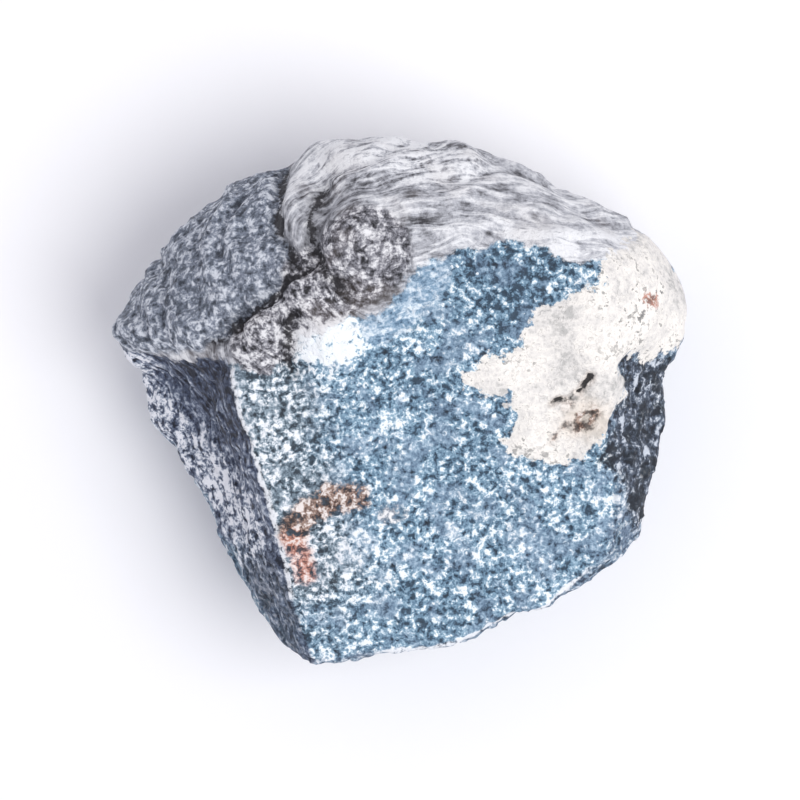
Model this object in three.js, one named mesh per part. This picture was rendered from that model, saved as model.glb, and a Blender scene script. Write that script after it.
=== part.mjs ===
// A rough piece of angelite, the pale blue form of anhydrite, as broken from its nodule.
// It is one natural solid. A broad blue fracture face slopes across the top, a wrinkled pale rind
// curls round a knob along the back, a thick white patch caps the right shoulder, a corner is
// broken out of the left side, and rough sides run down to the small flat that it rests on.
// Millimetres, +Z up. The origin is under the middle of the outline, on the resting surface.

import * as THREE from "three";
import { mergeVertices } from "three/addons/utils/BufferGeometryUtils.js";

// Driving dimensions
const halfLength = 24.7; // half of the stone along X
const halfWidth = 22.9; // half of the stone along Y
const halfHeight = 16; // half of the stone along Z
const edgeSoftness = 0.42; // how far a freshly broken edge is worn back
const wornSoftness = 1.5; // how far the old weathered edges are worn back
const meshSplits = 21; // extra cuts along each edge of the starting icosahedron
const weldDistance = 1e-4; // corners this close are one, on that icosahedron of radius 1

// Where the rays that find the surface start, well inside the stone
const heart = [0, -0.5, 13];

// The stone's faces. facing is the compass direction in degrees, 0 along +X and 90 along +Y;
// tilt is the angle above the horizon; through is a point on the face; wave is how far
// the face rolls in and out; ledge is how far its steps stand out.
const brokenFaces = [
  { name: "mainFace", facing: -63, tilt: 75, through: [0, -4, 26], wave: 0.3 },
  { name: "tipFront", facing: 195, tilt: -6, through: [-24.3, 3, 13], wave: 0.3, ledge: 0.4 },
  { name: "leftFoot", facing: 211, tilt: -6, through: [-17.7, -8, 14], wave: 0.4, ledge: 0.5 },
  { name: "rightBevel", facing: -7, tilt: 34, through: [19.2, -3, 23.9], wave: 0.3 },
  { name: "rightLower", facing: -8, tilt: -8, through: [24.2, 0, 15], wave: 0.4, ledge: 0.4 },
  { name: "rightCorner", facing: -30, tilt: -4, through: [22, -11.7, 19], wave: 0.3, ledge: 0.5 },
  { name: "frontRight", facing: -57, tilt: -9, through: [17.3, -16.8, 21], wave: 0.3, ledge: 0.6 },
  { name: "frontMiddle", facing: -69, tilt: -8, through: [9, -20.8, 21], wave: 0.3, ledge: 0.6 },
  { name: "front", facing: -81, tilt: -8, through: [-2.6, -23.2, 21], wave: 0.3, ledge: 0.6 },
  { name: "underLeft", facing: 190, tilt: -50, through: [-13, 0, 0], wave: 0.6 },
  { name: "underRight", facing: 5, tilt: -30, through: [16.5, 0, 0], wave: 0.6 },
  { name: "underFrontRight", facing: -45, tilt: -33, through: [11.5, -10.5, 0], wave: 0.6, ledge: 0.4 },
  { name: "underFront", facing: -97, tilt: -27, through: [0, -15, 0], wave: 0.6, ledge: 0.4 },
  { name: "soleLeft", facing: 195, tilt: -75, through: [-8, 0, 0], wave: 0.4 },
  { name: "soleFront", facing: -80, tilt: -76, through: [0, -8.5, 0], wave: 0.4 },
];
const wornFaces = [
  { name: "rindTop", facing: 72, tilt: 60, through: [0, 14.5, 29.9], wave: 0.4 },
  { name: "rindBrow", facing: 67, tilt: 25, through: [4, 19.5, 25], wave: 0.4 },
  { name: "backShoulder", facing: 117, tilt: 40, through: [-8, 16.6, 26.8], wave: 0.5 },
  { name: "leftLump", facing: 151, tilt: 50, through: [-15, 8.4, 24.8], wave: 0.4 },
  { name: "lumpBrow", facing: 140, tilt: 20, through: [-18.3, 13.1, 18], wave: 0.4 },
  { name: "tipBack", facing: 160, tilt: -6, through: [-23.9, 7.2, 12], wave: 0.5 },
  { name: "lumpBack", facing: 135, tilt: -8, through: [-18.9, 13.8, 12], wave: 0.5 },
  { name: "backLeft", facing: 116, tilt: -8, through: [-11.4, 18, 13], wave: 0.5 },
  { name: "back", facing: 88, tilt: -8, through: [-1, 22.9, 15], wave: 0.6 },
  { name: "backRight", facing: 67, tilt: -9, through: [10, 20, 14], wave: 0.6 },
  { name: "rightUpper", facing: 18, tilt: 15, through: [23.6, 9, 17], wave: 0.3 },
  { name: "underBackLeft", facing: 145, tilt: -50, through: [-12, 9, 0], wave: 0.6 },
  { name: "underBack", facing: 95, tilt: -38, through: [0, 14, 0], wave: 0.6 },
  { name: "underBackRight", facing: 50, tilt: -35, through: [12.5, 10.5, 0], wave: 0.6 },
  { name: "soleRight", facing: 10, tilt: -76, through: [8.5, 0, 0], wave: 0.4 },
  { name: "soleBack", facing: 100, tilt: -74, through: [0, 8.5, 0], wave: 0.4 },
];
const rollLength = 11; // one roll of a face, crest to crest
const ledgeSpacing = 4.2; // from one ledge to the next, down a side
const ledgeDip = [0.12, -0.05, 1]; // the ledges lie across this direction
const ledgeWander = 0.35; // how far a ledge strays from its level, in spacings
const unevenness = [
  { height: 0.16, length: 5.2, seed: 80 },
  { height: 0.08, length: 3.1, seed: 81 },
];

// A corner broken out of the left side: the scarp below the main face, the end of the lump
// above it, and the terrace at its foot. The walls meet in a hollow.
const leftNotch = [
  { name: "scarp", facing: 199.3, tilt: 18, through: [-11.1, -5.9, 26.9], wave: 0.25, ledge: 0.3 },
  { name: "lumpEnd", facing: 238, tilt: 25, through: [-20, 3.8, 20], wave: 0.25, ledge: 0.3 },
  { name: "terrace", facing: 196, tilt: 50, through: [-14.5, -6, 17.2], wave: 0.3 },
];
const notchSoftness = 0.5;

// Shell-shaped scars, each left by a ball-shaped bite
const scars = [
  { name: "topScar", at: [8, 9.5, 45.4], radius: 18.4 },
  { name: "frontScar", at: [5, -34.5, 11], radius: 14.6 },
  { name: "cornerScar", at: [-15.5, -28.5, 17], radius: 7.6 },
  { name: "rightScar", at: [33, -9, 8], radius: 13 },
  { name: "backScar", at: [3, 35, 9], radius: 15.6 },
  { name: "tipScar", at: [-33, 3, 7], radius: 12.6 },
];
const scarSoftness = 0.5;

// The rind: everything on top that lies behind this line, seen from above.
const rindEdge = [
  [-24.6, 2.6], [-12.5, 2.5], [-10.2, 1.3], [-7.5, 2.3], [-6.8, 4.3], [-3.1, 5.7], [-0.8, 6.7],
  [1.3, 8.4], [2.3, 10.3], [5.3, 11.9], [10, 12.8], [13.5, 12.2], [17.4, 10.6], [26.8, 10.2],
];
const behindTheStone = [[30, 40], [-40, 40], [-40, 2.4]]; // closes the rind line into an outline
const rindThickness = 0.45;
const rindStep = 0.8; // half the width of the step up onto the rind

// The rind's wrinkles run round the knob and along this line to the right.
const wrinkleSpine = [[-0.9, 11.5], [6.7, 13.1], [21.1, 10.6]];
const wrinkleSpacing = 3.1;
const wrinkleHeight = 0.28;
const wrinkleWander = { height: 0.3, length: 7, seed: 73 };

// The thick white patch on the right shoulder, seen from above
const whitePatch = [
  [17.8, 9], [17.2, 8], [15.1, 7], [12.8, 6], [11.2, 4.7], [10.8, 3], [8.9, 2], [7.5, 0.8], [8.8, -0.1],
  [10.6, -0.7], [11.9, -2.3], [11.3, -3.5], [10.1, -4.3], [10.7, -5.5], [12.7, -5.5], [14.1, -6],
  [16.1, -5.8], [18.1, -4.7], [19.1, -3.5], [19.5, -1.9], [20.2, -0.9], [20.4, 0.5], [19.7, 2],
  [20.6, 3], [22.7, 2.2], [26.8, 2.8], [26.8, 11.7], [22.7, 13.5], [21, 13.2], [20, 12], [18.5, 11],
];
const patchThickness = 0.6;
const patchStep = 0.6; // half the width of the step up onto the patch
const raggedness = [
  { height: 0.4, length: 4.4, seed: 71 },
  { height: 0.2, length: 2.6, seed: 72 },
];

// Domes that stand on the top: the knob that the rind curls round, and the lumps beside it
const domes = [
  { name: "knob", at: [-0.9, 11.5], radius: 4, height: 1.4 },
  { name: "innerLump", at: [-5.6, 8.2], radius: 2.9, height: 0.6 },
  { name: "outerLump", at: [-9.3, 4.4], radius: 2.8, height: 0.9 },
  { name: "whiteLump", at: [-3.5, 3.8], radius: 3.4, height: 0.7 },
  { name: "leftDome", at: [-14.1, 10.4], radius: 9, height: 0.7 },
  { name: "rib", at: [-7.1, 15.4], radius: 2.6, height: 0.8 },
  { name: "shoulderBulge", at: [21.5, 8.6], radius: 6.5, height: 1.1 },
];
const domeFullness = 1.2; // above 1 a dome's foot runs out gently

// Furrows and cracks cut into the top, seen from above
const furrows = [
  {
    name: "lumpFurrow", depth: 1, half: 1.5,
    path: [[-14.5, 3.9], [-11.2, 6.2], [-8.5, 8.9], [-5.7, 10.9]],
  },
  {
    name: "backFurrow", depth: 0.8, half: 1.4,
    path: [[-8.8, 19.3], [-8.8, 15.7], [-8.9, 13.4], [-7.2, 11.1]],
  },
  {
    name: "ribFurrow", depth: 0.7, half: 1.4,
    path: [[-4.8, 17.2], [-5.8, 14.8], [-5.7, 12.3], [-4.5, 9.5], [-2.9, 8.4]],
  },
  {
    name: "shortFurrow", depth: 0.5, half: 1,
    path: [[-7.4, 6], [-7.4, 4.3], [-7.9, 2.8], [-7.7, 1.5]],
  },
];

// The relief on top fades out between these two heights, down the sides.
const reliefFloor = 9;
const reliefCeiling = 16;

// Rays march inwards, first in long strides and then in short ones, until they meet the surface.
const startReach = 1.6; // in half lengths
const strides = [...Array(22).fill(0.8), ...Array(8).fill(0.4)];

const dot = (a, b) => a[0] * b[0] + a[1] * b[1] + a[2] * b[2];
const clamp01 = (t) => Math.min(1, Math.max(0, t));
const smooth = (low, high, t) => {
  const s = clamp01((t - low) / (high - low));
  return s * s * (3 - 2 * s);
};

// The larger of two distances, with the corner between them worn back by soft
const wornMax = (a, b, soft) =>
  Math.max(a, b) + soft * Math.log1p(Math.exp(-Math.abs(a - b) / soft));

// A direction from its compass bearing and its angle above the horizon, in degrees
function direction(facing, tilt) {
  const bearing = THREE.MathUtils.degToRad(facing);
  const rise = THREE.MathUtils.degToRad(tilt);
  return [Math.cos(rise) * Math.cos(bearing), Math.cos(rise) * Math.sin(bearing), Math.sin(rise)];
}

// A gentle field of crossing waves between about -1 and 1, different for every seed. The waves
// run in directions spread over a sphere by the golden angle; the steps keep them out of phase.
const waves = 5;
const goldenAngle = Math.PI * (3 - Math.sqrt(5));
const seedTurn = 1.7;
const seedPhase = 2.3;
const wavePhase = 1.9;
function roll(p, length, seed) {
  let sum = 0;
  for (let i = 0; i < waves; i++) {
    const height = (2 * i + 1) / waves - 1;
    const across = Math.sqrt(1 - height * height);
    const turn = goldenAngle * i + seed * seedTurn;
    const along = [across * Math.cos(turn), across * Math.sin(turn), height];
    sum += Math.sin((2 * Math.PI * dot(along, p)) / length + seed * seedPhase + i * wavePhase);
  }
  return sum / Math.sqrt(waves);
}

// Several such fields together
const rolls = (p, fields) =>
  fields.reduce((sum, field) => sum + field.height * roll(p, field.length, field.seed), 0);

// Distance in plan from (x, y) to a line of points
function distanceToLine(x, y, line) {
  let nearest = Infinity;
  for (let i = 0; i + 1 < line.length; i++) {
    const [ax, ay] = line[i];
    const [bx, by] = line[i + 1];
    const [dx, dy] = [bx - ax, by - ay];
    const t = clamp01(((x - ax) * dx + (y - ay) * dy) / (dx * dx + dy * dy));
    nearest = Math.min(nearest, Math.hypot(x - ax - t * dx, y - ay - t * dy));
  }
  return nearest;
}

// Distance in plan to a closed outline, negative inside it
function distanceToOutline(x, y, outline) {
  let inside = false;
  for (let i = 0, j = outline.length - 1; i < outline.length; j = i++) {
    const [ax, ay] = outline[i];
    const [bx, by] = outline[j];
    if (ay > y !== by > y && x < ((bx - ax) * (y - ay)) / (by - ay) + ax) inside = !inside;
  }
  const away = distanceToLine(x, y, [...outline, outline[0]]);
  return inside ? -away : away;
}

// Each face gets its own seed, so that no two of them roll alike.
const seeded = (faces, firstSeed) =>
  faces.map((face, i) => {
    const normal = direction(face.facing, face.tilt);
    return { ledge: 0, ...face, seed: firstSeed + i, normal };
  });
const broken = seeded(brokenFaces, 1);
const worn = seeded(wornFaces, 21);
const notch = seeded(leftNotch, 51);

// How far a point lies outside one rolling face, with its ledges
const ledgeSeeds = 40; // from a face's own seed to the seed of its ledges
function outsideFace(p, face) {
  const stray = ledgeWander * roll(p, rollLength, face.seed + ledgeSeeds);
  const level = dot(ledgeDip, p) / ledgeSpacing + stray;
  const step = face.ledge * (level - Math.floor(level) - 0.5);
  const flat = dot(face.normal, p) - dot(face.normal, face.through);
  return flat + face.wave * roll(p, rollLength, face.seed) + step;
}

// How far a point lies outside a group of faces whose shared edges are worn back by soft
function outsideFaces(p, faces, soft) {
  return faces.map((face) => outsideFace(p, face)).reduce((most, d) => wornMax(most, d, soft));
}

// How far a point lies inside the notch, whose walls meet in a hollow
function insideNotch(p) {
  const inside = notch.map((wall) => -outsideFace(p, wall));
  return -inside.reduce((most, d) => wornMax(most, d, notchSoftness));
}

// Signed distance to the bare stone, near enough: negative inside
function stone(p) {
  const freshSide = outsideFaces(p, broken, edgeSoftness);
  const wornSide = outsideFaces(p, worn, wornSoftness);
  let d = wornMax(wornMax(freshSide, wornSide, edgeSoftness), insideNotch(p), edgeSoftness);
  d += rolls(p, unevenness);
  for (const scar of scars) {
    const bite = scar.radius - Math.hypot(p[0] - scar.at[0], p[1] - scar.at[1], p[2] - scar.at[2]);
    d = wornMax(d, bite, scarSoftness);
  }
  return d;
}

const rindOutline = [...rindEdge, ...behindTheStone];

// How far the top stands out from the bare stone at a point: rind, patch, domes and furrows
function relief(p) {
  const [x, y] = p;
  const ragged = rolls(p, raggedness);
  const rind = smooth(rindStep, -rindStep, distanceToOutline(x, y, rindOutline) + ragged);
  const patch = smooth(patchStep, -patchStep, distanceToOutline(x, y, whitePatch) + ragged);
  const fold = distanceToLine(x, y, wrinkleSpine) / wrinkleSpacing + rolls(p, [wrinkleWander]);
  let out = rind * (1 - patch) * (rindThickness + wrinkleHeight * Math.sin(2 * Math.PI * fold));
  out += patch * patchThickness;
  for (const dome of domes) {
    const off = Math.hypot(x - dome.at[0], y - dome.at[1]) / dome.radius;
    out += dome.height * Math.pow(Math.max(0, 1 - off * off), domeFullness);
  }
  const cuts = furrows.map((furrow) => {
    const off = distanceToLine(x, y, furrow.path) / furrow.half;
    return furrow.depth * Math.exp(-off * off);
  });
  out -= Math.max(...cuts);
  return out * smooth(reliefFloor, reliefCeiling, p[2]);
}

// The first point of the bare stone that a ray from outside meets on its way to the heart,
// moved out along the ray by the relief
function surfacePoint(x, y, z) {
  const along = new THREE.Vector3(x * halfLength, y * halfWidth, z * halfHeight).normalize().toArray();
  let reach = startReach * halfLength;
  const at = () => heart.map((h, k) => h + along[k] * reach);
  for (const stride of strides) reach -= stride * stone(at());
  reach += relief(at());
  return at();
}

// What would stand below the resting surface is drawn back towards the heart, onto it.
function restOnFlat(p) {
  if (p[2] >= 0) return p;
  const share = heart[2] / (heart[2] - p[2]);
  return [heart[0] + (p[0] - heart[0]) * share, heart[1] + (p[1] - heart[1]) * share, 0];
}

// The stone's skin: an icosphere, each corner moved along its ray to the stone's surface
function stoneGeometry() {
  const ball = new THREE.IcosahedronGeometry(1, meshSplits);
  ball.deleteAttribute("normal");
  ball.deleteAttribute("uv");
  const skin = mergeVertices(ball, weldDistance);
  const corners = skin.getAttribute("position");
  for (let i = 0; i < corners.count; i++) {
    const surface = surfacePoint(corners.getX(i), corners.getY(i), corners.getZ(i));
    corners.setXYZ(i, ...restOnFlat(surface));
  }
  skin.computeBoundingBox();
  const middle = skin.boundingBox.getCenter(new THREE.Vector3());
  skin.translate(-middle.x, -middle.y, 0);
  skin.computeVertexNormals();
  return skin;
}

const angelite = new THREE.MeshStandardMaterial({ color: 0x7f9bb3, roughness: 0.72, metalness: 0 });
angelite.flatShading = true;

const piece = new THREE.Mesh(stoneGeometry(), angelite);
piece.name = "angelite_stone";

const group = new THREE.Group();
group.add(piece);

export default group;
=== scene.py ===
# Rough angelite: a broken blue stone with a wrinkled grey rind, a thick white patch and a rust stain.
import math
from itertools import product

import bmesh
import bpy
import numpy as np
from mathutils import Matrix, Vector


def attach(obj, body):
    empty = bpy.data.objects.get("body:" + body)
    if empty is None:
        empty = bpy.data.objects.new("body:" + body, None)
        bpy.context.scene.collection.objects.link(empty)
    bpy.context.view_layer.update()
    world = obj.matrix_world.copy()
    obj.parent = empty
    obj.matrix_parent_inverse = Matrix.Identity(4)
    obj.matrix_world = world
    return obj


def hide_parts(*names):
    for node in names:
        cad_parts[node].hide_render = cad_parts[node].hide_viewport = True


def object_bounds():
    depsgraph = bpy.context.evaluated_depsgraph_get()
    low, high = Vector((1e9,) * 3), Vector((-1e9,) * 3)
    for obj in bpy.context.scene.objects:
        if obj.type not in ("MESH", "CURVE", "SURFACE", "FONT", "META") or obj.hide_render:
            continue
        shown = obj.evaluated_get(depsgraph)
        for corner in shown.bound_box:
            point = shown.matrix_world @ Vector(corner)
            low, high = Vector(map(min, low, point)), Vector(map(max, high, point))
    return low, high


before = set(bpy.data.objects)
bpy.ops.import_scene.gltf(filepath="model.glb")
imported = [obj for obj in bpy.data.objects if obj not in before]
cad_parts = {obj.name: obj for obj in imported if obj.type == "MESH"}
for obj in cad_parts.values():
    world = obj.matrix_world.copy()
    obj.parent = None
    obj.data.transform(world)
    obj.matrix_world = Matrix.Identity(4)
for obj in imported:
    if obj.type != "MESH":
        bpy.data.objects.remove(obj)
cadLow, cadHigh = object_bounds()
millimetre = 0.001
print("frame loaded")

# The stone's shape, in millimetres
stoneShape = {
    "halfLength": 24.7,
    "halfWidth": 22.9,
    "halfHeight": 16,
    "edgeSoftness": 0.42,
    "wornSoftness": 1.5,
    "heart": (0, -0.5, 13),
    "rollLength": 11,
    "ledgeSpacing": 4.2,
    "ledgeDip": (0.12, -0.05, 1),
    # facing in degrees, tilt above the horizon, a point on the face, its rolling, its ledges
    "brokenFaces": {
        "mainFace": (-63, 75, (0, -4, 26), 0.3, 0),
        "tipFront": (195, -6, (-24.3, 3, 13), 0.3, 0.4),
        "leftFoot": (211, -6, (-17.7, -8, 14), 0.4, 0.5),
        "rightBevel": (-7, 34, (19.2, -3, 23.9), 0.3, 0),
        "rightLower": (-8, -8, (24.2, 0, 15), 0.4, 0.4),
        "rightCorner": (-30, -4, (22, -11.7, 19), 0.3, 0.5),
        "frontRight": (-57, -9, (17.3, -16.8, 21), 0.3, 0.6),
        "frontMiddle": (-69, -8, (9, -20.8, 21), 0.3, 0.6),
        "front": (-81, -8, (-2.6, -23.2, 21), 0.3, 0.6),
        "underLeft": (190, -50, (-13, 0, 0), 0.6, 0),
        "underRight": (5, -30, (16.5, 0, 0), 0.6, 0),
        "underFrontRight": (-45, -33, (11.5, -10.5, 0), 0.6, 0.4),
        "underFront": (-97, -27, (0, -15, 0), 0.6, 0.4),
        "soleLeft": (195, -75, (-8, 0, 0), 0.4, 0),
        "soleFront": (-80, -76, (0, -8.5, 0), 0.4, 0),
    },
    "wornFaces": {
        "rindTop": (72, 60, (0, 14.5, 29.9), 0.4, 0),
        "rindBrow": (67, 25, (4, 19.5, 25), 0.4, 0),
        "backShoulder": (117, 40, (-8, 16.6, 26.8), 0.5, 0),
        "leftLump": (151, 50, (-15, 8.4, 24.8), 0.4, 0),
        "lumpBrow": (140, 20, (-18.3, 13.1, 18), 0.4, 0),
        "tipBack": (160, -6, (-23.9, 7.2, 12), 0.5, 0),
        "lumpBack": (135, -8, (-18.9, 13.8, 12), 0.5, 0),
        "backLeft": (116, -8, (-11.4, 18, 13), 0.5, 0),
        "back": (88, -8, (-1, 22.9, 15), 0.6, 0),
        "backRight": (67, -9, (10, 20, 14), 0.6, 0),
        "rightUpper": (18, 15, (23.6, 9, 17), 0.3, 0),
        "underBackLeft": (145, -50, (-12, 9, 0), 0.6, 0),
        "underBack": (95, -38, (0, 14, 0), 0.6, 0),
        "underBackRight": (50, -35, (12.5, 10.5, 0), 0.6, 0),
        "soleRight": (10, -76, (8.5, 0, 0), 0.4, 0),
        "soleBack": (100, -74, (0, 8.5, 0), 0.4, 0),
    },
    # a corner broken out of the block between walls that meet in a hollow
    "leftNotch": {
        "scarp": (199.3, 18, (-11.1, -5.9, 26.9), 0.25, 0.3),
        "lumpEnd": (238, 25, (-20, 3.8, 20), 0.25, 0.3),
        "terrace": (196, 50, (-14.5, -6, 17.2), 0.3, 0),
    },
    "notchSoftness": 0.5,
    "rindEdge": [
        (-24.6, 2.6), (-12.5, 2.5), (-10.2, 1.3), (-7.5, 2.3), (-6.8, 4.3), (-3.1, 5.7), (-0.8, 6.7),
        (1.3, 8.4), (2.3, 10.3), (5.3, 11.9), (10, 12.8), (13.5, 12.2), (17.4, 10.6), (26.8, 10.2),
    ],
    "rindThickness": 0.45,
    "wrinkleSpine": [(-0.9, 11.5), (6.7, 13.1), (21.1, 10.6)],
    "wrinkleSpacing": 3.1,
    "wrinkleHeight": 0.28,
    "whitePatch": [
        (17.8, 9), (17.2, 8), (15.1, 7), (12.8, 6), (11.2, 4.7), (10.8, 3), (8.9, 2), (7.5, 0.8), (8.8, -0.1),
        (10.6, -0.7), (11.9, -2.3), (11.3, -3.5), (10.1, -4.3), (10.7, -5.5), (12.7, -5.5), (14.1, -6),
        (16.1, -5.8), (18.1, -4.7), (19.1, -3.5), (19.5, -1.9), (20.2, -0.9), (20.4, 0.5), (19.7, 2),
        (20.6, 3), (22.7, 2.2), (26.8, 2.8), (26.8, 11.7), (22.7, 13.5), (21, 13.2), (20, 12), (18.5, 11),
    ],
    "patchThickness": 0.6,
    # middle, radius and height of each dome
    "domes": {
        "knob": ((-0.9, 11.5), 4, 1.4),
        "innerLump": ((-5.6, 8.2), 2.9, 0.6),
        "outerLump": ((-9.3, 4.4), 2.8, 0.9),
        "whiteLump": ((-3.5, 3.8), 3.4, 0.7),
        "leftDome": ((-14.1, 10.4), 9, 0.7),
        "rib": ((-7.1, 15.4), 2.6, 0.8),
        "shoulderBulge": ((21.5, 8.6), 6.5, 1.1),
    },
    # path, depth and half width of each furrow
    "furrows": {
        "lumpFurrow": ([(-14.5, 3.9), (-11.2, 6.2), (-8.5, 8.9), (-5.7, 10.9)], 1, 1.5),
        "backFurrow": ([(-8.8, 19.3), (-8.8, 15.7), (-8.9, 13.4), (-7.2, 11.1)], 0.8, 1.4),
        "ribFurrow": ([(-4.8, 17.2), (-5.8, 14.8), (-5.7, 12.3), (-4.5, 9.5), (-2.9, 8.4)], 0.7, 1.4),
        "shortFurrow": ([(-7.4, 6), (-7.4, 4.3), (-7.9, 2.8), (-7.7, 1.5)], 0.5, 1),
    },
    "scars": {
        "topScar": ((8, 9.5, 45.4), 18.4),
        "frontScar": ((5, -34.5, 11), 14.6),
        "cornerScar": ((-15.5, -28.5, 17), 7.6),
        "rightScar": ((33, -9, 8), 13),
        "backScar": ((3, 35, 9), 15.6),
        "tipScar": ((-33, 3, 7), 12.6),
    },
    "scarSoftness": 0.5,
    "reliefFloor": 9,
    "reliefCeiling": 16,
    "sideLevel": 2.4,
    "farAway": 40,
}


def smooth(low, high, t):
    s = np.clip((t - low) / (high - low), 0, 1)
    return s * s * (3 - 2 * s)


def direction(facing, tilt):
    bearing, rise = math.radians(facing), math.radians(tilt)
    return np.array([math.cos(rise) * math.cos(bearing), math.cos(rise) * math.sin(bearing), math.sin(rise)])


goldenAngle = math.pi * (3 - math.sqrt(5))


# Crossing waves between about -1 and 1, different for every seed
def roll(p, length, seed):
    waves = 5
    total = np.zeros(len(p))
    for i in range(waves):
        height = (2 * i + 1) / waves - 1
        across = math.sqrt(1 - height * height)
        turn = goldenAngle * i + seed * 1.7
        along = np.array([across * math.cos(turn), across * math.sin(turn), height])
        total += np.sin((2 * math.pi / length) * (p @ along) + seed * 2.3 + i * 1.9)
    return total / math.sqrt(waves)


def distanceToLine(x, y, line):
    nearest = np.full(len(x), np.inf)
    for (ax, ay), (bx, by) in zip(line, line[1:]):
        dx, dy = bx - ax, by - ay
        t = np.clip(((x - ax) * dx + (y - ay) * dy) / (dx * dx + dy * dy), 0, 1)
        nearest = np.minimum(nearest, np.hypot(x - ax - t * dx, y - ay - t * dy))
    return nearest


# Distance in plan to a closed outline, negative inside it
def distanceToOutline(x, y, outline):
    inside = np.zeros(len(x), bool)
    for (ax, ay), (bx, by) in zip(outline, [outline[-1]] + outline[:-1]):
        if ay != by:
            crosses = ((ay > y) != (by > y)) & (x < (bx - ax) * (y - ay) / (by - ay) + ax)
            inside ^= crosses
    away = distanceToLine(x, y, outline + [outline[0]])
    return np.where(inside, -away, away)


# How far a point lies outside one rolling face, with its ledges
def outsideFace(p, face, seed):
    facing, tilt, through, wave, ledge = face
    normal = direction(facing, tilt)
    d = p @ normal - normal @ np.array(through) + wave * roll(p, stoneShape["rollLength"], seed)
    if ledge:
        level = p @ np.array(stoneShape["ledgeDip"]) / stoneShape["ledgeSpacing"]
        level += 0.35 * roll(p, stoneShape["rollLength"], seed + 40)
        d += ledge * (level - np.floor(level) - 0.5)
    return d


# The larger of two distances, with the corner between them worn back by soft
def wornMax(a, b, soft):
    return np.maximum(a, b) + soft * np.log1p(np.exp(-np.abs(a - b) / soft))


# The largest of the distances outside several faces, or of their opposites when sign is -1
def faceGroup(p, faces, soft, seed, sign=1):
    d = np.full(len(p), -np.inf)
    for i, face in enumerate(faces):
        d = np.logaddexp(d, sign * outsideFace(p, face, seed + i) / soft)
    return soft * d


# How far a point lies inside the notch, whose walls meet in a hollow
def insideNotch(p):
    return -faceGroup(p, stoneShape["leftNotch"].values(), stoneShape["notchSoftness"], 51, -1)


def block(p):
    soft = stoneShape["edgeSoftness"]
    broken = faceGroup(p, stoneShape["brokenFaces"].values(), soft, 1)
    worn = faceGroup(p, stoneShape["wornFaces"].values(), stoneShape["wornSoftness"], 21)
    return wornMax(wornMax(broken, worn, soft), insideNotch(p), soft)


def rindOutline():
    far = stoneShape["farAway"]
    return stoneShape["rindEdge"] + [(0.75 * far, far), (-far, far), (-far, stoneShape["sideLevel"])]


# How far the top stands out from the block: rind, patch, domes and furrows, all set out in plan
def relief(p):
    x, y = p[:, 0], p[:, 1]
    ragged = 0.4 * roll(p, 4.4, 71) + 0.2 * roll(p, 2.6, 72)
    rind = smooth(0.8, -0.8, distanceToOutline(x, y, rindOutline()) + ragged)
    patch = smooth(0.6, -0.6, distanceToOutline(x, y, stoneShape["whitePatch"]) + ragged)
    fold = distanceToLine(x, y, stoneShape["wrinkleSpine"]) / stoneShape["wrinkleSpacing"]
    wrinkles = np.sin(2 * math.pi * (fold + 0.3 * roll(p, 7, 73)))
    out = rind * (1 - patch) * (stoneShape["rindThickness"] + stoneShape["wrinkleHeight"] * wrinkles)
    out += patch * stoneShape["patchThickness"]
    for (cx, cy), radius, height in stoneShape["domes"].values():
        off = np.hypot(x - cx, y - cy) / radius
        out += height * np.maximum(0, 1 - off * off) ** 1.2
    cut = np.zeros(len(p))
    for path, depth, half in stoneShape["furrows"].values():
        cut = np.maximum(cut, depth * np.exp(-((distanceToLine(x, y, path) / half) ** 2)))
    out -= cut
    return out * smooth(stoneShape["reliefFloor"], stoneShape["reliefCeiling"], p[:, 2])


def stoneField(p):
    d = block(p) + 0.16 * roll(p, 5.2, 80) + 0.08 * roll(p, 3.1, 81)
    soft = stoneShape["scarSoftness"]
    for centre, radius in stoneShape["scars"].values():
        bite = radius - np.linalg.norm(p - np.array(centre), axis=1)
        d = wornMax(d, bite, soft)
    return d


# A shuffled table, long enough to be stepped through three times, and the place that it gives each cell
tableSize = 256


def shuffled(dice):
    return np.tile(dice.permutation(tableSize), 3)


def cellKeys(cell, shuffle):
    i, j, k = (cell % tableSize).T
    return shuffle[shuffle[shuffle[i] + j] + k]


def randomDirections(dice):
    arrows = dice.normal(size=(tableSize, 3))
    return arrows / np.linalg.norm(arrows, axis=1)[:, None]


# Smooth lattice noise, about -1 to 1
def latticeNoise(p, seed):
    dice = np.random.default_rng(seed)
    shuffle = shuffled(dice)
    slopes = randomDirections(dice)
    cell = np.floor(p).astype(int)
    f = p - cell
    u = f * f * f * (f * (f * 6 - 15) + 10)
    total = np.zeros(len(p))
    for step in product((0, 1), repeat=3):
        i, j, k = np.abs(1 - np.array(step) - u).T
        total += i * j * k * np.einsum("ij,ij->i", slopes[cellKeys(cell + step, shuffle)], f - step)
    return total * 1.6


# Lattice noise in several sizes, each half as large as the one before
def layered(p, length, octaves, seed, gain=0.5):
    total, share, most = np.zeros(len(p)), 1.0, 0.0
    for i in range(octaves):
        total += share * latticeNoise(p / length * 2**i + i * 17.3, seed + i)
        most += share
        share *= gain
    return total / most


# Grains packed side by side: each point's height on the tilted face of its own grain
def grains(p, size, seed):
    q = p / size
    cell = np.floor(q).astype(int)
    nearest = np.full(len(p), np.inf)
    height = np.zeros(len(p))
    dice = np.random.default_rng(seed)
    shuffle = shuffled(dice)
    jitter = dice.random((tableSize, 3))
    tilts = randomDirections(dice)
    for step in product((-1, 0, 1), repeat=3):
        key = cellKeys(cell + step, shuffle)
        away = q - (cell + step + jitter[key])
        distance = np.einsum("ij,ij->i", away, away)
        closer = distance < nearest
        nearest = np.where(closer, distance, nearest)
        height = np.where(closer, np.einsum("ij,ij->i", away, tilts[key]), height)
    return height


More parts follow.
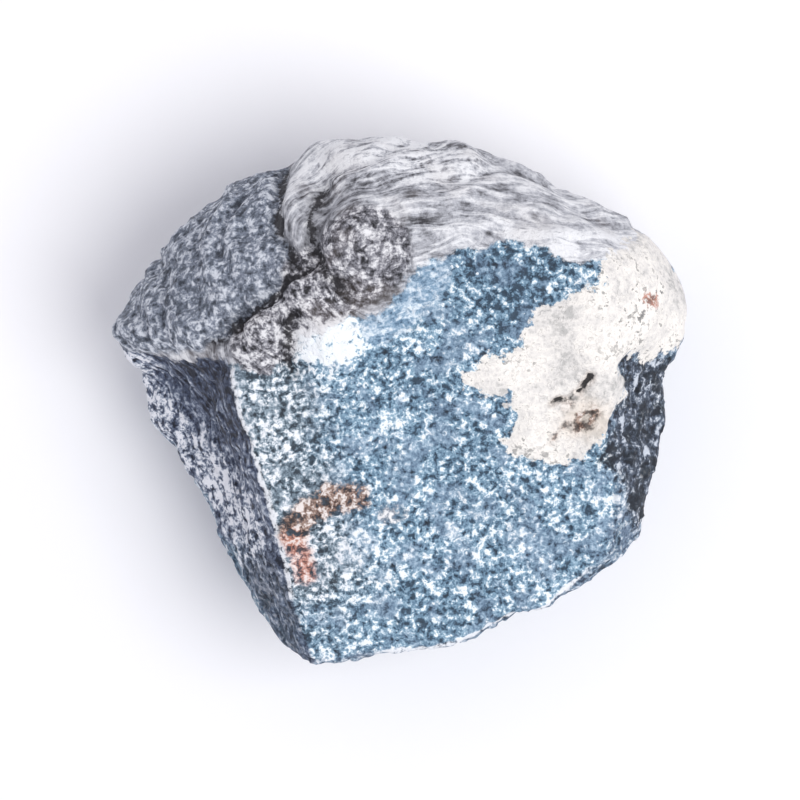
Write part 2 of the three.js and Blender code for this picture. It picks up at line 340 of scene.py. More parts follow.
stoneMesh = {
    "cuts": 95,
    "quickCuts": 63,
    "startReach": 1.6,  # of half the length
    "strides": [0.8] * 22 + [0.4] * 8,  # shares of the distance left
    "crestRounds": 3,
    "crestLimit": 0.06,
}


# A ball of even triangles, as directions from its middle
def evenBall(cuts):
    bm = bmesh.new()
    bmesh.ops.create_icosphere(bm, subdivisions=1, radius=1)
    bmesh.ops.subdivide_edges(bm, edges=bm.edges[:], cuts=cuts, use_grid_fill=True)
    bm.verts.ensure_lookup_table()
    points = np.array([v.co for v in bm.verts])
    corners = np.array([[v.index for v in f.verts] for f in bm.faces])
    bm.free()
    return points / np.linalg.norm(points, axis=1)[:, None], corners


# The first surface point on each ray from outside towards the heart
def surfacePoints(along):
    heart = np.array(stoneShape["heart"])
    along = along / np.linalg.norm(along, axis=1)[:, None]
    reach = np.full(len(along), stoneMesh["startReach"] * stoneShape["halfLength"])
    for stride in stoneMesh["strides"]:
        reach -= stride * stoneField(heart + along * reach[:, None])
    return heart + along * reach[:, None]


def cornerNormals(p, corners):
    a, b, c = (p[corners[:, i]] for i in range(3))
    facing = np.cross(b - a, c - a)
    normals = np.zeros_like(p)
    for i in range(3):
        np.add.at(normals, corners[:, i], facing)
    return normals / np.maximum(np.linalg.norm(normals, axis=1), 1e-12)[:, None]


# Each value blended with its neighbours' mean, several times over
def neighbourMean(values, corners, rounds):
    ends = np.vstack([corners[:, [0, 1]], corners[:, [1, 2]], corners[:, [2, 0]]])
    count = np.bincount(ends.ravel(), minlength=len(values)).astype(float)
    for _ in range(rounds):
        total = np.zeros_like(values)
        np.add.at(total, ends[:, 0], values[ends[:, 1]])
        np.add.at(total, ends[:, 1], values[ends[:, 0]])
        values = 0.5 * values + 0.5 * (total.T / count).T
    return values


# Where the finish and the fine relief lie and how high they are, in millimetres; places are seen from above
skin = {
    "lobe": [
        (-28.9, 2.8), (-15.6, 3.3), (-14.5, 3.9), (-11.2, 6.2), (-8.5, 8.9), (-7.6, 11.1), (-8.9, 13.4),
        (-8.8, 15.7), (-8.7, 18.8), (-8.9, 25.1), (-29.4, 29.3),
    ],
    "rindLine": [
        (-24.6, 2.6), (-12.5, 2.5), (-10.2, 1.3), (-7.5, 2.3), (-6.6, 4.3), (-3, 5.6), (-0.6, 6.3),
        (1.1, 7.4), (2.6, 9.3), (4.1, 10.5), (6.3, 11.5), (9.3, 12.6), (11.8, 12.5), (13.9, 11.6),
        (17.4, 10.6), (26.8, 10.2), (30, 40), (-40, 40), (-40, 2.4),
    ],
    # the right bevel: a darker grey-blue of its own, with painted shade laid over it as if stones beside it
    # shaded it
    "bevel": [
        (20.4, 2.7), (26.3, 2.6), (25.3, -4.8), (23.8, -11.3), (21.6, -12.2), (20.7, -8.7), (18.8, -6.1),
        (19.6, -2.8), (20.5, -0.6),
    ],
    # each place: its middle, how far from it the mark is full, where it ends, how much shorter it is along y
    "places": {
        "knob": ((-0.9, 11.5), 2.5, 4.5, 1),
        "arcs": ((-0.9, 11.5), 5, 9, 1),
        "outerLump": ((-9.3, 4.2), 1, 3.4, 1),
        "smallRust": ((0.9, -10.6), 0.3, 2.6, 1.6),
        "paleCurl": ((-2.6, -13), 0.8, 3, 1),
        "deepBlue": ((11.3, 9.2), 2, 7, 1),
        "dot": ((21.5, 7.3), 0, 1.5, 1),
        "specks": ((21.5, 7.3), 0.5, 4.5, 1),
    },
    "placeFray": 0.8,
    # each path on the top, how far from it the mark is full, and where it ends
    "paths": {
        "crest": ([(-4.5, 19.4), (1.1, 20), (6.9, 18.8)], 0.4, 3.4),
        "crumple": ([(-9.3, 4.2), (-5.8, 8.2), (-0.9, 11.5)], 2.8, 4.6),
        "rust": ([(-2.1, -9.3), (-4.5, -9.5), (-6.5, -10.7), (-7.6, -12.4)], 0.3, 2.2),
        "orangeRust": ([(-7.7, -13), (-7.1, -14.4), (-6.6, -16)], 0, 2.1),
        "paleLump": ([(-5.6, 3.5), (-2.7, 4)], 0.8, 2.5),
        "stripe": ([(-0.2, 4.9), (1.8, 6), (3.4, 7.8), (4.6, 9.6)], 0.2, 2.4),
        "bevelPale": ([(21.9, 1.8), (21.3, 0.2), (20.9, -1.2)], 0.4, 1.9),
    },
    "pathFray": 0.5,
    # each path on the left side, the same two distances, and how much its edge strays
    "sidePaths": {
        "foot": ([(-12.5, -15.5), (-8.5, -21)], 1.5, 4, 1),
        "shade": ([(-16, 2), (-14.5, 0), (-13, -3)], 1, 3.4, 0.5),
        "paleLedge": ([(-22.6, 2.2), (-20.2, -2.9), (-16, -6.8), (-12.9, -10.6), (-11.7, -13)], 0.6, 3, 0.5),
    },
    # each crack and each brown streak: its path and half its width
    "cracks": [
        ([(17.4, 1), (17.3, 0.6)], 0.24), ([(17.3, 0.6), (16.8, 0.3), (16.5, -0.3), (16.1, -0.4)], 0.13),
        ([(16.1, -0.4), (15.5, -0.9), (14.7, -0.9), (14.1, -1.3)], 0.07),
    ],
    "stains": [
        ([(14.1, -4.4), (14.5, -3.8)], 0.03), ([(15, -3.3), (15.4, -2.9)], 0.05),
        ([(15.2, -1.6), (15.9, -1.2)], 0.03), ([(17.7, -1.7), (18, -2.2)], 0.1),
        ([(16.2, -3.5), (16.5, -3)], 0.16),
    ],
    "furrowCore": 0.1,  # of the furrow's half width
    "burrow": (17, -2.6),
    "burrowFlat": 1.3,
    "ridge": [(-11.7, 2.2), (-10.3, -6.7), (-8.7, -12.8), (-6.4, -19.1)],
    "frostReach": 11,
    "frostFray": 1.5,
    "frayHeight": 0.9,
    "fraySize": 3.2,
    "fineSize": 1.3,
    "topStart": 13,
    "topFull": 19,
    "unevenHeight": 0.28,
    "unevenSize": 6,
    "grainSize": 1.25,
    "grainHeight": 0.22,
    "foldHeight": 0.2,
    "foldSpacing": 1.7,
    "streakHeight": 0.3,
    "streakSpacing": 1.7,
    "sideGrainHeight": 0.2,
    "sideGrainSize": 1.6,
    "lobeFoldHeight": 0.14,
    "lobeFoldSize": 3.4,
    "lobeGrainSize": 1.1,
    "lobeGrainHeight": 0.2,
    "chalkHeight": 0.12,
    "chalkSize": 2.2,
    "pitDepth": 0.35,
    "pitSize": 1.5,
    "crackDepth": 0.7,
    "burrowDepth": 0.6,
    "furrowDepth": 0.45,
}


# What the finish and the fine relief need at each point: most run from 0 to 1, the crack, stain,
# burrow and furrow are distances in millimetres
def skinMasks(p):
    x, y, z = p.T
    fray = skin["frayHeight"] * layered(p, skin["fraySize"], 3, 11)
    fine = layered(p, skin["fineSize"], 2, 13)
    top = smooth(skin["topStart"], skin["topFull"], z + 2 * layered(p, 6, 2, 12))
    below = 5 * (1 - top)
    brokenFaces = stoneShape["brokenFaces"]
    faces = {name: outsideFace(p, brokenFaces[name], 1 + i) for i, name in enumerate(brokenFaces)}
    main = faces["mainFace"]
    broken = np.max(list(faces.values()), axis=0)
    brokenSides = np.max([d for name, d in faces.items() if name != "mainFace"], axis=0)
    front = np.max([faces[name] for name in ("rightCorner", "frontRight", "frontMiddle", "front")], axis=0)
    worn = faceGroup(p, stoneShape["wornFaces"].values(), stoneShape["wornSoftness"], 21)
    bite = insideNotch(p)
    rim = np.abs(main - np.maximum(bite, front))
    inRind = -distanceToOutline(x, y, skin["rindLine"]) + fray
    rind = inRind * top + (worn - np.maximum(broken, bite) + fray) * (1 - top)
    inPatch = -distanceToOutline(x, y, stoneShape["whitePatch"]) + 1.2 * fray + 0.5 * fine
    patch = inPatch * top - 2 * (1 - top)
    side = np.maximum(bite, brokenSides) - np.maximum(main, worn)

    # millimetres outside the nearest of several lines, each with its own half width
    def outside(lines):
        return np.min([distanceToLine(x, y, path) - half for path, half in lines], axis=0) + below

    fromRidge = distanceToLine(x, y, skin["ridge"]) + skin["frostFray"] * fray
    inBevel = -distanceToOutline(x, y, skin["bevel"])
    bx, by = skin["burrow"]
    furrowCores = [(path, skin["furrowCore"] * half) for path, depth, half in stoneShape["furrows"].values()]
    masks = {
        "rind": smooth(-1.5, 1.5, rind),
        "patch": smooth(-1.5, 1.5, patch),
        "side": smooth(-1, 1, side + 0.3 * fray),
        "notch": smooth(-0.6, 0.6, bite - np.maximum(broken, worn)),
        "edge": smooth(0.55, 0.1, rim + 0.25 * fine) * smooth(0.6, 0, worn - main) * smooth(20, 15, x) * top,
        "lobe": smooth(-1, 1, -distanceToOutline(x, y, skin["lobe"]) + fray),
        "lip": smooth(3, 0.6, np.abs(inRind - 0.9)) * smooth(0, 5, x) * top,
        "frost": smooth(skin["frostReach"], 0, fromRidge) * top * (0.35 + 0.65 * smooth(-20, -15, y + fray)),
        # painted shade on the right bevel, faded out below where it is seen from above
        "bevel": smooth(-1, 0.8, inBevel + fray) * smooth(10, 17, z + 2 * fray),
        "crack": outside(skin["cracks"]) + 0.12 * fine,
        "stain": outside(skin["stains"]) + 0.12 * fine,
        "burrow": np.hypot(x - bx, (y - by) * skin["burrowFlat"]) + below,
        "furrow": outside(furrowCores) + 0.35 * fray,
    }
    for name, ((cx, cy), full, end, squeeze) in skin["places"].items():
        away = np.hypot(x - cx, (y - cy) * squeeze)
        masks[name] = smooth(end, full, away + skin["placeFray"] * fray) * top
        if name == "arcs":
            masks[name] *= smooth(2.5, 4, away)
    for name, (path, full, end) in skin["paths"].items():
        masks[name] = smooth(end, full, distanceToLine(x, y, path) + skin["pathFray"] * fray) * top
    for name, (path, full, end, stray) in skin["sidePaths"].items():
        masks[name] = smooth(end, full, distanceToLine(x, y, path) + stray * fray)
    masks["edge"] *= 1 - smooth(-16, -20, y) * smooth(2, -4, x)
    masks["paleLedge"] *= smooth(5, 10, z)
    return masks


# Long ridges that follow the level lines of a rising value
def flow(across, p, spacing, length, octaves, seed):
    stretched = np.column_stack([across * length / spacing, p[:, 0], p[:, 1] + 0.4 * p[:, 2]])
    return layered(stretched, length, octaves, seed, 0.6)


def rindFlow(p):
    return distanceToLine(p[:, 0], p[:, 1], stoneShape["wrinkleSpine"]) + 1.3 * layered(p, 8, 2, 21)


def sideFlow(p):
    return p @ np.array(stoneShape["ledgeDip"]) + 0.9 * layered(p, 9, 2, 22)


# Points pushed about a little, so that grains have crooked borders
def crooked(p, reach, size, seeds):
    return p + reach * np.column_stack([layered(p, size, 2, seed) for seed in seeds])


def skinRelief(p, masks, rindAcross, sideAcross):
    rind, patch, side, lobe = (masks[name] for name in ("rind", "patch", "side", "lobe"))
    patchOnly = smooth(0.35, 0.65, patch)
    rindOnly = smooth(0.35, 0.65, rind) * (1 - patchOnly)
    blueOnly = (1 - rindOnly) * (1 - patchOnly)
    lumpy = rindOnly * np.maximum(lobe, masks["crumple"])
    out = skin["unevenHeight"] * layered(p, skin["unevenSize"], 4, 31) * (1 - 0.5 * patchOnly)
    out += blueOnly * skin["grainHeight"] * grains(crooked(p, 0.3, 2, (32, 33, 34)), skin["grainSize"], 35)
    folds = 1 - 2 * np.abs(flow(rindAcross, p, skin["foldSpacing"], 9, 4, 41))
    out += rindOnly * (1 - lobe) * skin["foldHeight"] * (folds - 0.6)
    lobeFolds = 1 - 2 * np.abs(layered(p, skin["lobeFoldSize"], 3, 46))
    out += rindOnly * lobe * skin["lobeFoldHeight"] * lobeFolds
    lobeGrains = grains(crooked(p, 0.4, 1.6, (48, 49, 50)), skin["lobeGrainSize"], 47)
    out += lumpy * skin["lobeGrainHeight"] * lobeGrains
    out += side * skin["streakHeight"] * flow(sideAcross, p, skin["streakSpacing"], 12, 4, 51)
    out += side * skin["sideGrainHeight"] * layered(p, skin["sideGrainSize"], 3, 52)
    out += patchOnly * skin["chalkHeight"] * layered(p, skin["chalkSize"], 4, 61)
    pits = smooth(0.34, 0.6, layered(p, skin["pitSize"], 2, 62)) * smooth(-0.1, 0.3, layered(p, 5, 2, 63))
    out -= (patchOnly + 0.4 * blueOnly) * skin["pitDepth"] * pits
    out -= skin["crackDepth"] * smooth(0.25, -0.15, masks["crack"])
    out -= skin["burrowDepth"] * smooth(1.3, 0.5, masks["burrow"]) * (0.6 + 0.4 * layered(p, 0.8, 2, 64))
    out -= skin["furrowDepth"] * smooth(0.7, 0, masks["furrow"])
    return out


def makeStone():
    ball, corners = evenBall(stoneMesh["cuts"])
    half = np.array([stoneShape["halfLength"], stoneShape["halfWidth"], stoneShape["halfHeight"]])
    heart = np.array(stoneShape["heart"])
    bare = surfacePoints(ball * half)
    print("broken block found", len(bare), "points")
    masks = skinMasks(bare)
    rindAcross, sideAcross = rindFlow(bare), sideFlow(bare)
    rays = bare - heart
    p = bare + rays * (relief(bare) / np.linalg.norm(rays, axis=1))[:, None]
    p += cornerNormals(p, corners) * skinRelief(bare, masks, rindAcross, sideAcross)[:, None]
    print("rind, patch, lumps, cracks and grain raised")

    # what hangs below the floor is drawn up along its ray, which leaves the flat that the stone rests on
    under = p[:, 2] < 0
    p[under] = heart + (p[under] - heart) * (heart[2] / (heart[2] - p[under, 2]))[:, None]
    p[under, 2] = 0

    away = p - neighbourMean(p, corners, stoneMesh["crestRounds"])
    crest = np.einsum("ij,ij->i", away, cornerNormals(p, corners))
    masks["nearCrest"] = np.clip(crest, -stoneMesh["crestLimit"], stoneMesh["crestLimit"])
    masks["rindFlow"], masks["sideFlow"] = rindAcross, sideAcross
    middle = (p.min(0) + p.max(0)) / 2
    cadMiddle = np.array((cadLow + cadHigh) / 2) / millimetre
    shift = np.array([cadMiddle[0] - middle[0], cadMiddle[1] - middle[1], 0])
    mesh = bpy.data.meshes.new("angeliteStone")
    mesh.from_pydata(((p + shift) * millimetre).tolist(), [], corners.tolist())
    for name, values in masks.items():
        mesh.attributes.new(name, "FLOAT", "POINT").data.foreach_set("value", values.astype(np.float32))
    for polygon in mesh.polygons:
        polygon.use_smooth = True
    mesh.update()
    stone = bpy.data.objects.new("angelite_stone_surface", mesh)
    bpy.context.scene.collection.objects.link(stone)
    print("stone meshed", len(mesh.polygons), "triangles")
    return stone


# One value or colour on its way through a material
class Wire:
    def __init__(self, finish, socket):
        self.finish = finish
        self.socket = socket

    def other(self, name):
        return Wire(self.finish, self.socket.node.outputs[name])

    def math(self, operation, *values):
        return self.finish.node("ShaderNodeMath", {"operation": operation}, dict(enumerate(values)))

    def __add__(self, other):
        return self.math("ADD", self, other)

    def __radd__(self, other):
        return self.math("ADD", other, self)

    def __sub__(self, other):
        return self.math("SUBTRACT", self, other)

    def __rsub__(self, other):
        return self.math("SUBTRACT", other, self)

    def __mul__(self, other):
        return self.math("MULTIPLY", self, other)

    def __rmul__(self, other):
        return self.math("MULTIPLY", other, self)

    def __truediv__(self, other):
        return self.math("DIVIDE", self, other)

    def __rtruediv__(self, other):
        return self.math("DIVIDE", other, self)

    def over(self, low, high):
        return self.finish.node("ShaderNodeMapRange", {"interpolation_type": "SMOOTHSTEP"},
                                {"Value": self, "From Min": low, "From Max": high})


# A material, and the one way that its nodes are made
class Finish:
    def __init__(self, name):
        self.material = bpy.data.materials.new(name)
        self.material.use_nodes = True
        self.tree = self.material.node_tree
        self.shader = self.tree.nodes["Principled BSDF"]

    def node(self, kind, settings, sockets, out=0):
        made = self.tree.nodes.new(kind)
        for name, value in settings.items():
            if name == "stops":
                ramp = made.color_ramp
                while len(ramp.elements) < len(value):
                    ramp.elements.new(0.5)
                for stop, (place, colour) in zip(ramp.elements, value):
                    stop.position = place
                    stop.color = (*colour, 1)
            else:
                setattr(made, name, value)
        for name, value in sockets.items():
            self.feed(made.inputs[name], value)
        return Wire(self, made.outputs[out])

    def feed(self, socket, value):
        if isinstance(value, Wire):
            self.tree.links.new(value.socket, socket)
        elif isinstance(value, tuple) and len(value) == 3 and socket.type == "RGBA":
            socket.default_value = (*value, 1)
        else:
            socket.default_value = value

    def mask(self, name):
        return self.node("ShaderNodeAttribute", {"attribute_name": name}, {}, "Fac")

    def mix(self, share, a, b):
        return self.node("ShaderNodeMix", {"data_type": "RGBA"}, {0: share, 6: a, 7: b}, 2)

    def ramp(self, share, stops):
        return self.node("ShaderNodeValToRGB", {"stops": stops}, {"Fac": share})

    def noise(self, vector, size, detail=2, roughness=0.5, distortion=0):
        return self.node("ShaderNodeTexNoise", {}, {
            "Vector": vector, "Scale": 1 / size, "Detail": detail, "Roughness": roughness,
            "Distortion": distortion})

    def cells(self, vector, size):
        return self.node("ShaderNodeTexVoronoi", {}, {"Vector": vector, "Scale": 1 / size}, "Distance")


# The colour of a photographed tone, as the shader takes it
def tone(*rgb):
    return tuple(((c / 255 + 0.055) / 1.055) ** 2.4 for c in rgb)


stoneFinish = {
    # sizes of the grain and of the streaks, in millimetres
    "veinSize": 0.72,
    "gritSize": 0.32,
    "cellSize": 0.6,
    "swaySize": 0.9,
    "foldSize": 1.7,
    "calmSize": 2.6,
    "cloudSize": 5.5,
    "fraySize": 1.1,
    "sway": 0.5,
    "veinShare": 0.68,
    # spacing, length and detail of each kind of streak
    "lines": (0.36, 2.4, 4),
    "bands": (1.3, 6, 2),
    "sideStreaks": (0.6, 3.2, 5),
    "roughness": 0.72,
    "bumpStrength": 0.9,
    "bumpDistance": 0.25,
    # how each area ends: how much its edge strays, where it starts, where it is full, how much it covers
    "coats": {
        "frost": (0.8, 0.1, 0.8, 0.8),
        "stripe": (1, 0.2, 0.8, 0.75),
        "crumple": (0.5, 0.25, 0.85, 1),
        "lobe": (0.5, 0.3, 0.7, 1),
        "side": (0.5, 0.25, 0.75, 1),
    },
    # the same without the straying, for areas broken up by the grain
    "grainyCoats": {
        "edge": (0.3, 0.9, 0.9),
        "rust": (0.3, 0.8, 0.9),
        "orangeRust": (0.3, 0.9, 0.85),
        "smallRust": (0.4, 1, 0.4),
    },
    "blueStops": [
        (0.36, tone(50, 72, 90)), (0.43, tone(94, 125, 148)), (0.49, tone(122, 154, 176)),
        (0.55, tone(158, 188, 206)), (0.62, tone(246, 252, 253)),
    ],
    "lilacStops": [
        (0.37, tone(52, 58, 78)), (0.45, tone(104, 112, 136)),
        (0.52, tone(150, 162, 184)), (0.62, tone(242, 244, 250)),
    ],
    "frostStops": [
        (0.38, tone(54, 64, 72)), (0.45, tone(106, 121, 130)),
        (0.50, tone(152, 167, 177)), (0.58, tone(246, 248, 250)),
    ],
    "stripeStops": [(0.39, tone(88, 120, 148)), (0.48, tone(142, 171, 195)), (0.57, tone(224, 236, 244))],
    "rindStops": [
        (0.38, tone(58, 58, 62)), (0.44, tone(124, 125, 130)),
        (0.50, tone(182, 184, 190)), (0.59, tone(240, 241, 242)),
    ],
    "crumpleStops": [
        (0.38, tone(26, 26, 30)), (0.45, tone(88, 88, 94)),
        (0.51, tone(142, 142, 149)), (0.60, tone(236, 236, 237)),
    ],
    "lobeStops": [
        (0.38, tone(54, 60, 70)), (0.45, tone(98, 106, 118)),
        (0.51, tone(136, 144, 158)), (0.59, tone(218, 223, 230)),
    ],
    "sideStops": [
        (0.40, tone(28, 33, 48)), (0.46, tone(64, 74, 96)), (0.51, tone(102, 113, 134)),
        (0.56, tone(168, 177, 191)), (0.62, tone(238, 240, 245)),
    ],
    # the right bevel's own darker grey-blue, made darker still by painted shade
    "bevelPaintedShadeStops": [
        (0.38, tone(22, 26, 34)), (0.46, tone(52, 59, 72)),
        (0.53, tone(88, 98, 114)), (0.61, tone(206, 213, 222)),
    ],
    "chalkStops": [(0.38, tone(192, 191, 187)), (0.45, tone(228, 225, 220)), (0.53, tone(249, 245, 237))],
    "rustStops": [
        (0.43, tone(50, 37, 33)), (0.48, tone(118, 88, 72)),
        (0.53, tone(168, 138, 120)), (0.58, tone(236, 226, 220)),
    ],
    "orangeStops": [
        (0.42, tone(118, 74, 60)), (0.48, tone(190, 124, 102)),
        (0.54, tone(222, 178, 162)), (0.60, tone(242, 228, 222)),
    ],
    "chalkPit": tone(128, 128, 126),
    "cream": tone(246, 228, 206),
    "nearBlack": tone(26, 24, 28),
    "earth": tone(150, 134, 122),
    "powder": tone(242, 245, 248),
}


def angeliteFinish():
    f = Finish("angelite")
    look = stoneFinish
    place = f.node("ShaderNodeTexCoord", {}, {}, "Object")
    scaling = {"operation": "SCALE"}
    inMillimetres = f.node("ShaderNodeVectorMath", scaling, {0: place, "Scale": 1 / millimetre})
    x = f.node("ShaderNodeSeparateXYZ", {}, {0: inMillimetres}, "X")
    y = x.other("Y")

    def streaks(name, spacing, length, detail):
        across = f.mask(name) / spacing
        vector = f.node("ShaderNodeCombineXYZ", {}, {"X": across, "Y": x / length, "Z": y / length})
        return f.noise(vector, 1, detail, 0.62, 0.4)

    def coat(name, below, above):
        stray, low, high, most = look["coats"][name]
        return f.mix((f.mask(name) + fray * stray).over(low, high) * most, below, above)

    def grainyCoat(name, below, above):
        low, high, most = look["grainyCoats"][name]
        return f.mix((f.mask(name) * rough).over(low, high) * most, below, above)

    # the sugary grain: crooked veins of white and dark, finer grit, and single crystals
    swayNoise = f.noise(inMillimetres, look["swaySize"], 2).other("Color")
    sway = f.node("ShaderNodeVectorMath", scaling, {0: swayNoise, "Scale": look["sway"]})
    swayed = f.node("ShaderNodeVectorMath", {"operation": "ADD"}, {0: inMillimetres, 1: sway})
    veins = f.noise(swayed, look["veinSize"], 3, 0.6, 0.3)
    grit = f.noise(inMillimetres, look["gritSize"], 2, 0.65)
    grain = veins * look["veinShare"] + grit * (1 - look["veinShare"])
    swing = grain - 0.5
    clouds = f.noise(inMillimetres, look["cloudSize"], 3, 0.55)
    cloudSwing = clouds - 0.5
    fray = f.noise(inMillimetres, look["fraySize"], 4, 0.65) - 0.5
    rough = fray * 2 + swing * 4 + 1
    crumbs = fray * 0.35 + swing * 1.3
    cell = f.cells(swayed, look["cellSize"])
    chance = f.node("ShaderNodeSeparateColor", {}, {0: cell.other("Color")}, "Red")
    crystals = (chance * 0.6 - cell).over(0.05, 0.2)
    hollows = (chance.other("Green") * 0.6 - cell).over(0.05, 0.25)
    lines = streaks("rindFlow", *look["lines"])
    bands = streaks("rindFlow", *look["bands"])
    folds = f.noise(swayed, look["foldSize"], 3, 0.6) - 0.5
    creased = folds.math("ABSOLUTE", folds)
    nearCrest = f.mask("nearCrest")
    knob = f.mask("knob")
    paleLump = f.mask("paleLump")
    foot = f.mask("foot")

    # the blue stone, greyer where it is frosted, streaked beside the lumps
    calm = (f.noise(inMillimetres, look["calmSize"], 3, 0.6) - 0.46).over(0, 0.14)
    blueGrain = swing * (1.42 - calm * 0.62) + crystals * 0.07 - hollows * 0.04 + cloudSwing * 0.16 + 0.493
    blueGrain = blueGrain + f.mask("paleCurl") * 0.05 + paleLump * 0.2
    blueGrain = blueGrain + f.mask("deepBlue") * (crystals * 0.06 - 0.055)
    blue = f.mix(calm * 0.28, f.ramp(blueGrain, look["blueStops"]), f.ramp(blueGrain, look["lilacStops"]))
    blue = coat("frost", blue, f.ramp(blueGrain, look["frostStops"]))
    blue = coat("stripe", blue, f.ramp(lines * 0.4 + grain * 0.6, look["stripeStops"]))

    # the rind: streaked on the folds, mottled on the lumps, grey on the left lobe
    crest = f.mask("crest")
    rindGrain = lines * 0.42 + bands * 0.28 + grain * 0.3 + nearCrest * 0.4 + 0.016
    rindGrain = rindGrain + (lines * 0.6 + grain * 0.4 - 0.5) * crest * 0.5 + crest * 0.02
    rindGrain = rindGrain + f.mask("lip") * 0.05 + paleLump * 0.15 - f.mask("arcs") * 0.04
    rind = f.ramp(rindGrain, look["rindStops"])
    crumpleGrain = swing * (0.92 - knob * 0.27) + lines * 0.3 + creased.over(0, 0.06) * 0.05 + 0.308
    crumpleGrain = crumpleGrain + folds * knob * 0.25 + nearCrest * 0.4
    crumpleGrain = crumpleGrain + paleLump * 0.2 + f.mask("outerLump") * 0.02 - knob * 0.006
    rind = coat("crumple", rind, f.ramp(crumpleGrain, look["crumpleStops"]))
    rind = f.mix(cloudSwing.over(0, 0.16) * 0.14, rind, look["earth"])
    rind = coat("lobe", rind, f.ramp(grain * 0.85 + lines * 0.15 + nearCrest * 0.5, look["lobeStops"]))
    rindMask = (f.mask("rind") + fray * 0.9).over(0.42, 0.58)

    # the broken sides, darkest in the notch
    sideGrain = streaks("sideFlow", *look["sideStreaks"]) * 0.4 + grain * 0.6 + nearCrest * 0.5 - 0.01
    sideGrain = sideGrain + f.mask("paleLedge") * (swing * 0.6 + 0.085)
    sideGrain = sideGrain - f.mask("shade") * 0.045 - foot * 0.045
    darker = (f.mask("notch") + fray * 0.5).over(0.3, 0.7) * 0.5 + 0.5
    flank = f.mix(darker * (1 - foot * 0.2), blue, f.ramp(sideGrain, look["sideStops"]))
    # the right bevel: its own darker grey-blue under painted shade, as if stones lay beside it
    bevelGrain = swing * 1.1 + folds * 0.8 + cloudSwing * 0.3 + f.mask("bevelPale") * 0.06 + 0.43
    bevelPaintedShadeShare = (f.mask("bevel") + fray * 1.2 - swing * 3).over(0.15, 0.9) * 0.9

    # the white patch, cream about the burrow and pitted near its edge
    chalk = f.ramp(grain * 0.5 + clouds * 0.5, look["chalkStops"])
    chalk = f.mix((f.mask("burrow") + fray * 3).over(3.6, 0.6) * 0.45, chalk, look["cream"])
    patchEdge = f.mask("patch") + fray * 1.5 - hollows * 0.12
    pitted = patchEdge.over(1.3, 0.7) + f.mask("specks") * 0.6
    pitted = pitted * (grain + cloudSwing * 0.4).over(0.56, 0.62)
    patch = f.mix(pitted * 0.7, chalk, look["chalkPit"])

    colour = coat("side", blue, flank)
    colour = f.mix(bevelPaintedShadeShare, colour, f.ramp(bevelGrain, look["bevelPaintedShadeStops"]))
    colour = f.mix(rindMask, colour, rind)
    colour = f.mix(patchEdge.over(0.42, 0.56), colour, patch)

    # powder on the broken edge, rust, and the marks on the patch
    rusty = f.ramp(grain, look["rustStops"])
    colour = grainyCoat("edge", colour, look["powder"])
    colour = grainyCoat("rust", colour, rusty)
    colour = grainyCoat("orangeRust", colour, f.ramp(grain, look["orangeStops"]))
    colour = grainyCoat("smallRust", colour, rusty)
    spots = f.mask("dot") + crumbs * 1.6
    colour = f.mix(spots.over(0.45, 0.7) * 0.9, colour, f.ramp(grain - 0.05, look["orangeStops"]))
    colour = f.mix(spots.over(0.8, 1) * 0.75, colour, f.ramp(grain - 0.05, look["rustStops"]))
    burrow = f.mask("burrow") + fray * 2.6 + crumbs
    colour = f.mix(burrow.over(1.3, 0.7) * 0.85, colour, f.ramp(grain - 0.03, look["rustStops"]))
    colour = f.mix(burrow.over(0.45, 0.15) * 0.85, colour, chalk)
    stain = f.mask("stain") + crumbs
    colour = f.mix(stain.over(0.5, 0.1) * 0.3 + stain.over(0.16, -0.02) * 0.5, colour, rusty)
    crack = f.mask("crack") + crumbs * 0.5
    colour = f.mix(crack.over(0.5, 0.05) * 0.3, colour, rusty)
    colour = f.mix(crack.over(0.12, -0.04) * 0.95, colour, look["nearBlack"])
    # the furrows are darkened along their floors and faintly on either side
    furrow = f.mask("furrow") + fray * 0.3 + crumbs
    colour = f.mix(furrow.over(1.1, 0.1) * 0.25 + furrow.over(0.16, -0.04) * 0.65, colour, look["nearBlack"])

    f.feed(f.shader.inputs["Base Color"], colour)
    f.feed(f.shader.inputs["Roughness"], look["roughness"] - crystals * 0.25 + fray * 0.2)
    height = grain * 1.4 + crystals * 0.2 - hollows * 0.2 + lines * rindMask * 0.7
    bump = f.node("ShaderNodeBump", {}, {
        "Height": height, "Strength": look["bumpStrength"], "Distance": look["bumpDistance"] * millimetre})
    f.feed(f.shader.inputs["Normal"], bump)
    print("finish made")
    return f.material


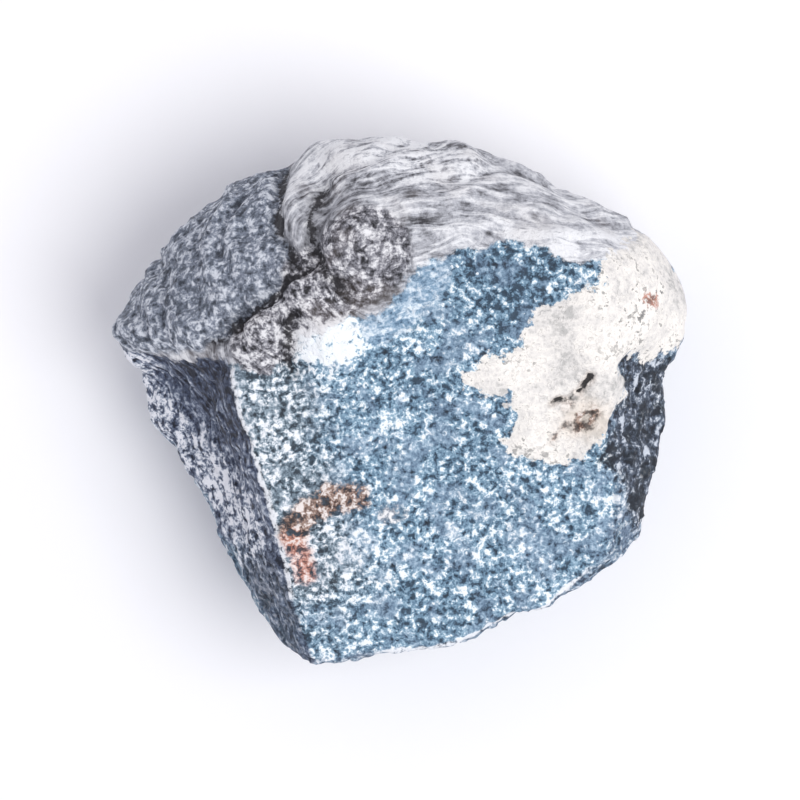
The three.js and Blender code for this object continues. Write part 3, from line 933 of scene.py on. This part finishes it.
# Metres, watts and Blender's own colours
studio = {
    "cameraPlace": (0.043, -0.002, 0.7),
    "cameraTarget": (0, 0, 0.015),
    "lens": 355,
    "nearest": 0.01,
    "sky": (0.93, 0.92, 1, 1),
    "skyStrength": 0.7,
    "lampPlace": (0.3, -0.1, 0.68),
    "lampTarget": (0, 0, 0.01),
    "lampSize": 0.42,
    "lampPower": 2.9,
    "floorHalf": 2,
    "floorColour": (0.985, 0.985, 0.99),
    "floorRoughness": 0.9,
}


def addCamera():
    place = Vector(studio["cameraPlace"])
    back = (place - Vector(studio["cameraTarget"])).normalized()
    right = Vector((0, 1, 0)).cross(back).normalized()
    up = back.cross(right)
    cam = bpy.data.objects.new("camera", bpy.data.cameras.new("camera"))
    bpy.context.scene.collection.objects.link(cam)
    cam.matrix_world = Matrix.Translation(place) @ Matrix((right, up, back)).transposed().to_4x4()
    cam.data.lens = studio["lens"]
    cam.data.clip_start = studio["nearest"]
    bpy.context.scene.camera = cam


def addLights():
    world = bpy.data.worlds.new("studio")
    bpy.context.scene.world = world
    world.use_nodes = True
    sky = world.node_tree.nodes["Background"]
    sky.inputs["Color"].default_value = studio["sky"]
    sky.inputs["Strength"].default_value = studio["skyStrength"]
    lamp = bpy.data.objects.new("keyLight", bpy.data.lights.new("keyLight", "AREA"))
    bpy.context.scene.collection.objects.link(lamp)
    lamp.location = studio["lampPlace"]
    lamp.data.shape = "DISK"
    lamp.data.size = studio["lampSize"]
    lamp.data.energy = studio["lampPower"]
    lamp.rotation_mode = "QUATERNION"
    lamp.rotation_quaternion = (Vector(studio["lampTarget"]) - lamp.location).to_track_quat("-Z", "Y")


def addFloor():
    mesh = bpy.data.meshes.new("floor")
    half = studio["floorHalf"]
    corners = [(-half, -half, 0), (half, -half, 0), (half, half, 0), (-half, half, 0)]
    mesh.from_pydata(corners, [], [(0, 1, 2, 3)])
    floor = bpy.data.objects.new("floor", mesh)
    bpy.context.scene.collection.objects.link(floor)
    f = Finish("paperFloor")
    f.feed(f.shader.inputs["Base Color"], studio["floorColour"])
    f.feed(f.shader.inputs["Roughness"], studio["floorRoughness"])
    mesh.materials.append(f.material)


bpy.context.scene.view_settings.view_transform = "Standard"
addCamera()
addLights()
addFloor()
print("studio set")
stone = makeStone()
stone.data.materials.append(angeliteFinish())
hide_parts("angelite_stone")
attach(stone, "root")
